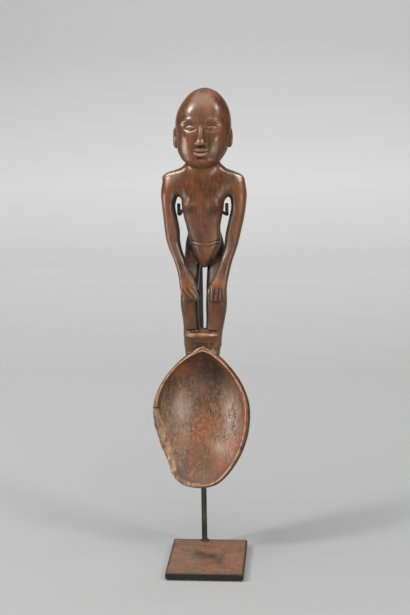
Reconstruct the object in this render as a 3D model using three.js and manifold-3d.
// A wooden spoon whose handle is a carved standing figure, held upright on its display stand.
// Millimetres, +Z up. The origin is the middle of the stand's underside, and the front is -Y.
// The spoon is one carving. The stand is a felt-backed steel plate, a square rod brazed to it, and a
// cross bar with two covered wire prongs that reach under the figure's arms.
import * as THREE from 'three';
import { mergeVertices } from 'three/addons/utils/BufferGeometryUtils.js';
import Module from 'manifold-3d';

const wasm = await Module();
wasm.setup();

// The stand
const PLATE = { width: 40, depth: 46, thick: 3, bevel: 0.4, corner: 0.8 };
const PAD = { inset: 1.2, thick: 1, corner: 1.5 };
const ROD = { side: 2.8, x: -3.1, backEdge: 0.3, top: 189.5 };
const BRAZE = { reach: 0.7, reachAtTop: 0.25, tall: 0.9, gap: 0.03, backGap: 0.05 };
const CROSS_BAR = { length: 19, tall: 3, thick: 2, z: 186.3 };
const REST_PAD = { width: 2.8, tall: 9, thick: 2.5, z: 92 };
const WIRE = { radius: 0.5, steps: 20, sleeveInside: 0.6, sleeveOutside: 0.8, sleeveSteps: 14, sides: 6 };

// The wires' routes, from the cross bar's front face to the tips under the armpits. Each sleeve
// covers its wire from the third point on.
const LEFT_ROUTE = [[-8.6, 17.8, 186.4], [-8.8, 16, 186.4], [-10.8, 12.6, 185.5], [-11.7, 9.4, 184],
  [-12, 7.9, 184.6], [-12, 7.6, 187], [-12, 7.6, 189.6]];
const RIGHT_ROUTE = [[6.9, 17.8, 186], [7.1, 16, 185.9], [9.5, 12.6, 184.6], [11.9, 9.4, 183.7],
  [12.2, 7.9, 184.6], [12.2, 7.6, 187.2], [12.25, 7.6, 189.6]];

// The spoon leans a little, and its lowest point hangs clear of the plate
const SPOON = { x: -1.87, z: 40.2, leanDegrees: 1.03 };

// The bowl: a leaf outline about its widest line, pointed at the top where the handle joins, drawn
// to the left at the bottom and full at its foot. Its back swells out a little behind the rim, and
// its deepest point lies above its widest line.
const BOWL = { wide: 41, top: 77.8, right: 24.4, left: 26.2, topPower: 1.8, lowPower: 1.1, skew: 2.5,
  foot: 6.2, footPower: 0.6, footFade: 8, rimFront: 1, rimBow: 0.8, depth: 16.2, deepest: 54, draw: 1.1,
  lip: 2.2, lipShare: 0.958, lipSlant: 0.022, wall: 2.6, roundPower: 2.3, flatPower: 0.82, sides: 48,
  rows: 8 };

// The hollow's edge: the leaf drawn in, a little more on the right, and blunter at the top
const MOUTH = { inset: 2.35, slant: 0.35, insetTop: 1.5, blunt: 0.35 };

// The broken stretch of the rim: its inner edge as [x, height, depth behind the rim, outer depth].
// The face reaches its outer depth in its width, and goes on past the bowl.
const BREAK = { edge: [[-25.4, 44.6, 0.2, 0.6], [-24, 43.6, 1.2, 1.5], [-23.4, 42.2, 1.7, 1.9],
  [-22.1, 37.7, 3.3, 2], [-20.9, 34.2, 4.2, 2.6], [-19.9, 30.7, 4.5, 3.3], [-18.3, 24.4, 4.2, 3.7],
  [-17.2, 20.9, 4, 3.8], [-14.9, 14.5, 3.3, 3.6], [-14.4, 11.2, 2.2, 3], [-13.9, 8.4, 1.2, 2.3],
  [-11.7, 5.5, 0.7, 1.9], [-6.6, 2.6, 0.1, 0.9], [-4, 1.2, 0, 0.5]], width: 4, reach: 9 };

// Oval stations of the figure, from low to high: [height, x, y, half width, half depth]
const TRUNK = [[117.3, 0.5, 4.6, 1, 1.2], [119.5, 0.5, 5, 2.8, 2.6], [123, 0.8, 5.8, 4.8, 4],
  [127, 1, 6.4, 6.5, 4.8], [130.5, 0.9, 6.6, 7.6, 5], [134.5, 0.2, 6.8, 8.3, 5],
  [138.5, -0.3, 6.9, 8.7, 5.1], [142.5, -0.5, 7, 9.6, 5.4], [147, -0.5, 7.1, 10.4, 5.8],
  [151, -0.3, 7.2, 10.8, 6.1], [154, -0.2, 7.3, 13.6, 6.2], [156.5, -0.2, 7.3, 17, 6.1],
  [159, -0.3, 7.3, 19.6, 5.8], [162, -0.4, 7.3, 20.7, 5.2], [164.5, -0.4, 7.2, 18.4, 4.6],
  [167, -0.3, 7, 11.8, 4.6], [169.5, -0.4, 6.9, 8.8, 4.8]];
const NECK = [[158, -0.3, 7, 8.4, 5], [164, -0.3, 6.9, 8.6, 5.5], [170, -0.5, 6.7, 8.7, 5.9],
  [177, -0.5, 7, 8.4, 6.2]];
const HEAD = [[167.9, -0.8, -0.2, 3.2, 2.2], [169.2, -0.8, 1, 6.4, 4.4], [171, -0.9, 2.4, 9.2, 6.6],
  [173, -0.9, 3.6, 10.7, 8], [176, -0.7, 4.6, 12.2, 9.3], [180, -0.4, 5.4, 13.1, 10.2],
  [185, -0.2, 6, 13.8, 10.8], [190, -0.3, 6.4, 13.8, 10.9], [194.5, -0.2, 6.7, 13, 10.3],
  [198.5, 0, 6.9, 11.3, 9.2], [202, 0.2, 7, 8.8, 7.3], [204.7, 0.3, 7, 5.8, 4.9],
  [206.1, 0.4, 7, 2.7, 2.3], [206.5, 0.4, 7, 0.9, 0.9]];
const PELVIS = [[120, 0.3, 11.6, 8, 3.2], [123, 0.3, 11.4, 9.8, 4.4], [126.5, 0.3, 11, 10.5, 4.9],
  [130, 0.2, 10.3, 9.8, 4.7], [133.5, 0.2, 9.6, 8.8, 4.2], [137, 0, 9, 7.5, 3.4]];
const LEFT_LEG = [[76, -5.4, 6.5, 4.6, 3.6], [82, -5.9, 6, 4.4, 4], [87, -6.2, 5.4, 4.1, 4.1],
  [92, -6.6, 4.8, 4.2, 4.3], [97, -7, 4.2, 4.5, 4.6], [102, -7.1, 3.8, 4.5, 4.9],
  [107, -6.8, 4.4, 4.4, 4.8], [112, -6.4, 6, 4.2, 4.6], [117, -6.1, 8.2, 4.3, 4.6],
  [122, -5.8, 10.2, 4.5, 4.8], [126, -5.4, 10.8, 4.4, 4.2]];
const RIGHT_LEG = [[76, 4.6, 6.5, 4.6, 3.6], [82, 5.1, 6, 4.4, 4], [87, 5.8, 5.4, 4.5, 4.1],
  [92, 6.3, 4.8, 4.9, 4.3], [97, 6.6, 4.2, 5.3, 4.6], [102, 6.7, 3.8, 5.3, 4.9],
  [107, 6.6, 4.4, 5.2, 4.8], [112, 6.4, 6, 4.9, 4.6], [117, 6.2, 8.2, 4.7, 4.6],
  [122, 6, 10.2, 4.6, 4.8], [126, 5.6, 10.8, 4.4, 4.2]];
const LEFT_ARM = [[101.2, -4.6, -1.4, 3, 1.2], [102.5, -5.2, -1.3, 4, 1.9], [107, -6.6, -1, 4.8, 2.5],
  [112, -8.1, -0.4, 4, 2.9], [117, -10.1, 0.6, 3.2, 3], [122, -11.9, 2, 3.2, 3.1],
  [127, -14.1, 4, 3.35, 3.4], [131, -15.4, 5.6, 3.55, 3.7], [136, -16, 6.8, 3.8, 4],
  [142, -17, 7.4, 3.55, 4.3], [148, -17.9, 7.5, 3.4, 4.5], [154, -17.2, 7.5, 4.5, 4.8],
  [159, -16, 7.5, 5.1, 4.6], [162, -15.6, 7.5, 4.8, 4], [164, -14, 7.3, 4, 3]];
const RIGHT_ARM = [[101.2, 6.6, -1.3, 3.8, 1.2], [102.5, 6.8, -1.2, 4.4, 1.9], [107, 7.2, -1, 4.9, 2.5],
  [112, 8.9, -0.4, 3.9, 2.9], [117, 10.3, 0.6, 3.5, 3], [122, 11.6, 2, 3.4, 3.1],
  [127, 13.3, 4, 3.35, 3.4], [131, 14.1, 5.6, 3.6, 3.7], [136, 15, 6.8, 3.8, 4],
  [142, 16.3, 7.4, 3.75, 4.3], [148, 17.3, 7.5, 3.7, 4.5], [154, 17, 7.5, 4.4, 4.8],
  [159, 15.8, 7.5, 5, 4.6], [162, 15.2, 7.5, 4.8, 4], [164, 13.6, 7.3, 4, 3]];
const FEET_BLOCK = [[58, -0.6, 9, 6.5, 4.2], [66, -0.7, 7.8, 8.2, 4.8], [72, -0.6, 6.9, 8.8, 4.5],
  [78, -0.4, 6.4, 9.4, 4.3], [83, -0.2, 6.2, 9.9, 4], [85, -0.2, 6.2, 9.5, 3.4]];
const TOE_LEDGE = [[76.5, -0.9, 6.9, 5.2, 4.2], [79, -0.9, 6.2, 5.8, 4.3], [80.6, -1, 5.5, 6.5, 4.4],
  [81.8, -1.1, 4.8, 7, 4.5], [82.8, -1.1, 4.3, 7.2, 4.5], [83.8, -1.1, 4.1, 7, 4.1],
  [84.4, -1.1, 4.5, 6.3, 3.3]];

// Rounded carved details: [x, y, z, half width, half depth, half height]
const BREASTS = [[-7.2, 3.4, 150.2, 3, 2.7, 3.2], [5.9, 3.4, 150.2, 3, 2.7, 3.2]];
const EARS = [[-13.9, 7.4, 182, 2.2, 2.8, 5.3], [12.9, 6.6, 182.4, 1.9, 2.6, 5]];
const NOSTRILS = [[-3.3, -3.1, 180, 1.35, 1.7, 1.2], [1.5, -3.1, 180, 1.35, 1.7, 1.2]];
const NOSE = [[178.4, -0.9, -3.2, 1.4, 1.2], [179.1, -0.9, -4.2, 2.5, 2.2], [180.3, -0.9, -4.6, 2.7, 2.5],
  [182.5, -0.9, -4.2, 2.1, 2.2], [186, -0.8, -4, 1.7, 1.8], [189.5, -0.7, -3.4, 1.6, 1.3]];

const WOOD = { color: 0x5a3322, roughness: 0.38, metalness: 0 };
const PLATE_STEEL = { color: 0x5b3a2b, roughness: 0.6, metalness: 0.4 };
const BLACK_STEEL = { color: 0x17170f, roughness: 0.45, metalness: 0.8 };
const BRASS = { color: 0x8a7038, roughness: 0.4, metalness: 0.9 };
const BLACK_SLEEVE = { color: 0x0c0e0c, roughness: 0.25, metalness: 0 };
const FELT = { color: 0x0e0e0f, roughness: 0.95, metalness: 0 };

const front = -PLATE.depth / 2;
const plateTop = PAD.thick + PLATE.thick;
const rodBack = PLATE.depth / 2 - ROD.backEdge;
const rodFront = rodBack - ROD.side;

// A mesh as a solid that can be joined and cut
function solid(geometry) {
  const bare = geometry.clone();
  bare.deleteAttribute('normal');
  bare.deleteAttribute('uv');
  const merged = mergeVertices(bare, 1e-4);
  return new wasm.Manifold(new wasm.Mesh({ numProp: 3,
    vertProperties: new Float32Array(merged.attributes.position.array),
    triVerts: new Uint32Array(merged.index.array) }));
}

// A solid back to a mesh geometry
function surface(shape) {
  const { numProp, vertProperties, triVerts } = shape.getMesh();
  const points = new Float32Array(vertProperties.length / numProp * 3);
  for (let i = 0; i < points.length; i += 1) {
    points[i] = vertProperties[Math.floor(i / 3) * numProp + i % 3];
  }
  const geometry = new THREE.BufferGeometry();
  geometry.setAttribute('position', new THREE.BufferAttribute(points, 3));
  geometry.setIndex(Array.from(triVerts));
  geometry.computeVertexNormals();
  return geometry;
}

// The closed skin over a row of rings, each a list of [x, y, z], with a fan over each end. Going
// round a ring and then on to the next one, the outside is on the right hand.
function skin(rings) {
  const sides = rings[0].length;
  const middle = (ring) => [0, 1, 2].map((k) => ring.reduce((sum, p) => sum + p[k], 0) / sides);
  const points = [...rings.flat(), middle(rings[0]), middle(rings[rings.length - 1])];
  const faces = [];
  for (let j = 0; j < sides; j += 1) {
    const next = (j + 1) % sides;
    const last = (rings.length - 1) * sides;
    for (let i = 0; i < rings.length - 1; i += 1) {
      const a = i * sides;
      const b = a + sides;
      faces.push(a + j, a + next, b + next, a + j, b + next, b + j);
    }
    faces.push(points.length - 2, next, j, points.length - 1, last + j, last + next);
  }
  const geometry = new THREE.BufferGeometry();
  geometry.setAttribute('position', new THREE.BufferAttribute(new Float32Array(points.flat()), 3));
  geometry.setIndex(faces);
  return geometry;
}

// Value number k of the stations, on a smooth curve through them all, at t from 0 to 1
function between(stations, k, t) {
  const place = t * (stations.length - 1);
  const i = Math.min(Math.floor(place), stations.length - 2);
  const [a, b, c, d] = [i - 1, i, i + 1, i + 2].map(
    (n) => stations[Math.max(0, Math.min(stations.length - 1, n))][k]);
  const u = place - i;
  return b + u * (c - a + u * (2 * a - 5 * b + 4 * c - d + u * (3 * (b - c) + d - a))) / 2;
}

// A limb or body through oval stations. Power 2 is an ellipse, and more is squarer.
function limb(stations, sides, power = 2) {
  const rings = [];
  const steps = stations.length - 1;
  for (let i = 0; i <= steps; i += 1) {
    const [z, x, y, halfWidth, halfDepth] = [0, 1, 2, 3, 4].map((k) => between(stations, k, i / steps));
    rings.push(Array.from({ length: sides }, (_, j) => {
      const angle = 2 * Math.PI * j / sides;
      const round = (value) => Math.sign(value) * Math.abs(value) ** (2 / power);
      return [x + halfWidth * round(Math.cos(angle)), y + halfDepth * round(Math.sin(angle)), z];
    }));
  }
  return solid(skin(rings));
}

// A rounded lump such as an ear
function lump([x, y, z, halfWidth, halfDepth, halfHeight]) {
  const ball = new THREE.SphereGeometry(1, 12, 8);
  return solid(ball.scale(halfWidth, halfDepth, halfHeight).translate(x, y, z));
}

// The rim's y: the sides stand a little further forward than the two ends
function rimLine(z) {
  return BOWL.rimFront + BOWL.rimBow * ((z - BOWL.wide) / BOWL.wide) ** 2;
}

// The outline round the bowl's middle at an angle, as x and height, drawn in by inset
function leaf(angle, inset = 0, blunt = 0) {
  const up = Math.sin(angle);
  const across = Math.cos(angle);
  const half = across > 0 ? BOWL.right - inset : inset - BOWL.left;
  if (up > 0) {
    return [half * Math.abs(across) ** (BOWL.topPower - blunt),
      (BOWL.top - BOWL.wide - inset * MOUTH.insetTop) * up];
  }
  const fuller = Math.sign(across) * BOWL.foot * Math.abs(across) ** BOWL.footPower;
  const foot = BOWL.skew * up ** 3 + fuller * up ** BOWL.footFade;
  return [half * Math.abs(across) ** BOWL.lowPower + foot, (BOWL.wide - inset) * up];
}

// The bowl's back at a share of the way out: the leaf, rounder at its top further in
function swell(angle, share) {
  return leaf(angle, 0, (BOWL.topPower - 1) * (1 - share ** 2));
}

// The hollow at a share of the way out: the leaf drawn in, and rounder at its top further in
function mouth(angle, share) {
  const rounder = (BOWL.topPower - 1 - MOUTH.blunt) * (1 - share ** 2);
  return leaf(angle, MOUTH.inset + MOUTH.slant * Math.cos(angle), MOUTH.blunt + rounder);
}

// The lip is drawn in from the leaf, and more on the right, where the wall shows
function lip(angle) {
  return leaf(angle).map((value) => value * (BOWL.lipShare - BOWL.lipSlant * Math.cos(angle)));
}

// A ring of the bowl: share of the way from its deepest point to an edge, and so far behind the rim
function bowlRing(edge, share, behind) {
  const tallShare = share ** BOWL.draw;
  return Array.from({ length: BOWL.sides }, (_, j) => {
    const [x, height] = edge(2 * Math.PI * (j + 0.5) / BOWL.sides, share);
    const z = BOWL.wide + tallShare * height + (1 - tallShare) * (BOWL.deepest - BOWL.wide);
    return [share * x, rimLine(z) + behind, z];
  });
}

// One side of the bowl as a closed solid: rings from its deepest point out to its edge, which lies
// so far behind the rim, and on to any further rings
function cup(edge, behind, depth, ...further) {
  const rings = [];
  for (let i = 1; i <= BOWL.rows; i += 1) {
    const share = Math.sin(Math.PI / 2 * i / BOWL.rows);
    const hollow = (depth - behind) * (1 - share ** BOWL.roundPower) ** BOWL.flatPower;
    rings.push(bowlRing(edge, share, behind + hollow));
  }
  return solid(skin([...rings, ...further]));
}

// The wood that is gone from the left of the rim: all that lay in front of the broken face
function brokenPiece() {
  const rings = BREAK.edge.map(([x, z, inner, outer]) => {
    const place = (out, depth) => [x - out, rimLine(z) + depth, z - out / BREAK.reach];
    return [[x, front, z], [x - BREAK.reach, front, z - 1], place(BREAK.reach, outer),
      place(BREAK.width, outer), place(0, inner)];
  });
  return solid(skin(rings));
}

// The whole carving, in its own frame with its lowest point at the origin
function carving() {
  const parts = [limb(TRUNK, 28, 2.3), limb(NECK, 22), limb(HEAD, 28, 2.1), limb(PELVIS, 24),
    limb(LEFT_LEG, 18, 2.3), limb(RIGHT_LEG, 18, 2.3), limb(LEFT_ARM, 18, 2.2), limb(RIGHT_ARM, 18, 2.2),
    limb(FEET_BLOCK, 26, 3), limb(TOE_LEDGE, 16, 3.4), limb(NOSE, 12),
    ...[...BREASTS, ...EARS, ...NOSTRILS].map(lump)];
  const halfWay = (angle) => leaf(angle).map((value, k) => (value + lip(angle)[k]) / 2);
  const bowl = cup(swell, BOWL.lip, BOWL.depth, bowlRing(halfWay, 1, BOWL.lip / 3), bowlRing(lip, 1, 0));
  const before = bowlRing(mouth, 1, 0).map(([x, , z]) => [x, front, z]);
  const hollow = cup(mouth, 0, BOWL.depth - BOWL.wall, before);
  const figure = parts.reduce((sum, part) => sum.add(part));
  return figure.add(bowl).subtract(hollow).subtract(brokenPiece());
}

// A flat block with rounded corners, standing from z up, its edges bevelled
function slab(width, depth, thick, corner, bevel, z) {
  const half = [width / 2 - bevel, depth / 2 - bevel];
  const outline = new THREE.Shape();
  outline.moveTo(-half[0] + corner, -half[1]);
  outline.lineTo(half[0] - corner, -half[1]);
  outline.absarc(half[0] - corner, -half[1] + corner, corner, -Math.PI / 2, 0);
  outline.absarc(half[0] - corner, half[1] - corner, corner, 0, Math.PI / 2);
  outline.absarc(-half[0] + corner, half[1] - corner, corner, Math.PI / 2, Math.PI);
  outline.absarc(-half[0] + corner, -half[1] + corner, corner, Math.PI, Math.PI * 1.5);
  const geometry = new THREE.ExtrudeGeometry(outline, { depth: thick - 2 * bevel, curveSegments: 4,
    bevelEnabled: bevel > 0, bevelSize: bevel, bevelThickness: bevel, bevelSegments: 1 });
  return geometry.translate(0, 0, z + bevel);
}

// A plain bar between two corners
function bar(x0, x1, y0, y1, z0, z1) {
  return new THREE.BoxGeometry(x1 - x0, y1 - y0, z1 - z0)
    .translate((x0 + x1) / 2, (y0 + y1) / 2, (z0 + z1) / 2);
}

// The braze at the rod's foot: a sloped collar on three sides of the rod
function brazeCollar() {
  const half = ROD.side / 2;
  const square = (reach, z) => [[-1, -1], [1, -1], [1, 1], [-1, 1]].map(([sx, sy]) => [
    ROD.x + sx * (half + reach), sy < 0 ? rodFront - reach : rodBack + ROD.backEdge - BRAZE.backGap, z]);
  const rings = [square(BRAZE.reach, plateTop), square(BRAZE.reachAtTop, plateTop + BRAZE.tall)];
  const collar = solid(skin(rings));
  const slot = bar(ROD.x - half - BRAZE.gap, ROD.x + half + BRAZE.gap, rodFront - BRAZE.gap,
    rodBack + ROD.side, plateTop - BRAZE.tall, plateTop + 2 * BRAZE.tall);
  return surface(collar.subtract(solid(slot)));
}

// A round bar along a route
function roundBar(curve, radius, steps) {
  const section = new THREE.Shape();
  section.absarc(0, 0, radius, 0, 2 * Math.PI);
  return new THREE.ExtrudeGeometry(section, { steps, extrudePath: curve, bevelEnabled: false,
    curveSegments: WIRE.sides });
}

function route(points) {
  return new THREE.CatmullRomCurve3(points.map((p) => new THREE.Vector3(...p)), false, 'centripetal');
}

// A black sleeve over the part of a wire that touches the wood
function sleeve(points) {
  const covered = route(points.slice(2));
  const outside = solid(roundBar(covered, WIRE.sleeveOutside, WIRE.sleeveSteps));
  return surface(outside.subtract(solid(roundBar(covered, WIRE.sleeveInside, WIRE.sleeveSteps))));
}

const part = new THREE.Group();

function piece(name, geometry, finish, parent = part) {
  const mesh = new THREE.Mesh(geometry, new THREE.MeshStandardMaterial(finish));
  mesh.name = name;
  parent.add(mesh);
}

piece('base_pad', slab(PLATE.width - 2 * PAD.inset, PLATE.depth - 2 * PAD.inset, PAD.thick,
  PAD.corner, 0, 0), FELT);
piece('base_plate', slab(PLATE.width, PLATE.depth, PLATE.thick, PLATE.corner, PLATE.bevel,
  PAD.thick), PLATE_STEEL);
piece('stand_rod', bar(ROD.x - ROD.side / 2, ROD.x + ROD.side / 2, rodFront, rodBack, plateTop,
  ROD.top), BLACK_STEEL);
piece('rod_foot_braze', brazeCollar(), BRASS);
piece('cross_bar', bar(-CROSS_BAR.length / 2, CROSS_BAR.length / 2, rodFront - CROSS_BAR.thick,
  rodFront, CROSS_BAR.z - CROSS_BAR.tall / 2, CROSS_BAR.z + CROSS_BAR.tall / 2), BLACK_STEEL);
piece('left_prong', roundBar(route(LEFT_ROUTE), WIRE.radius, WIRE.steps), BRASS);
piece('right_prong', roundBar(route(RIGHT_ROUTE), WIRE.radius, WIRE.steps), BRASS);
piece('left_prong_sleeve', sleeve(LEFT_ROUTE), BLACK_SLEEVE);
piece('right_prong_sleeve', sleeve(RIGHT_ROUTE), BLACK_SLEEVE);
piece('bowl_rest_pad', bar(ROD.x - REST_PAD.width / 2, ROD.x + REST_PAD.width / 2, rodFront - REST_PAD.thick,
  rodFront, REST_PAD.z - REST_PAD.tall / 2, REST_PAD.z + REST_PAD.tall / 2), FELT);

const spoon = new THREE.Group();
spoon.position.set(SPOON.x, 0, SPOON.z);
spoon.rotation.y = THREE.MathUtils.degToRad(SPOON.leanDegrees);
part.add(spoon);
piece('carved_spoon', surface(carving()), WOOD, spoon);

export default part;
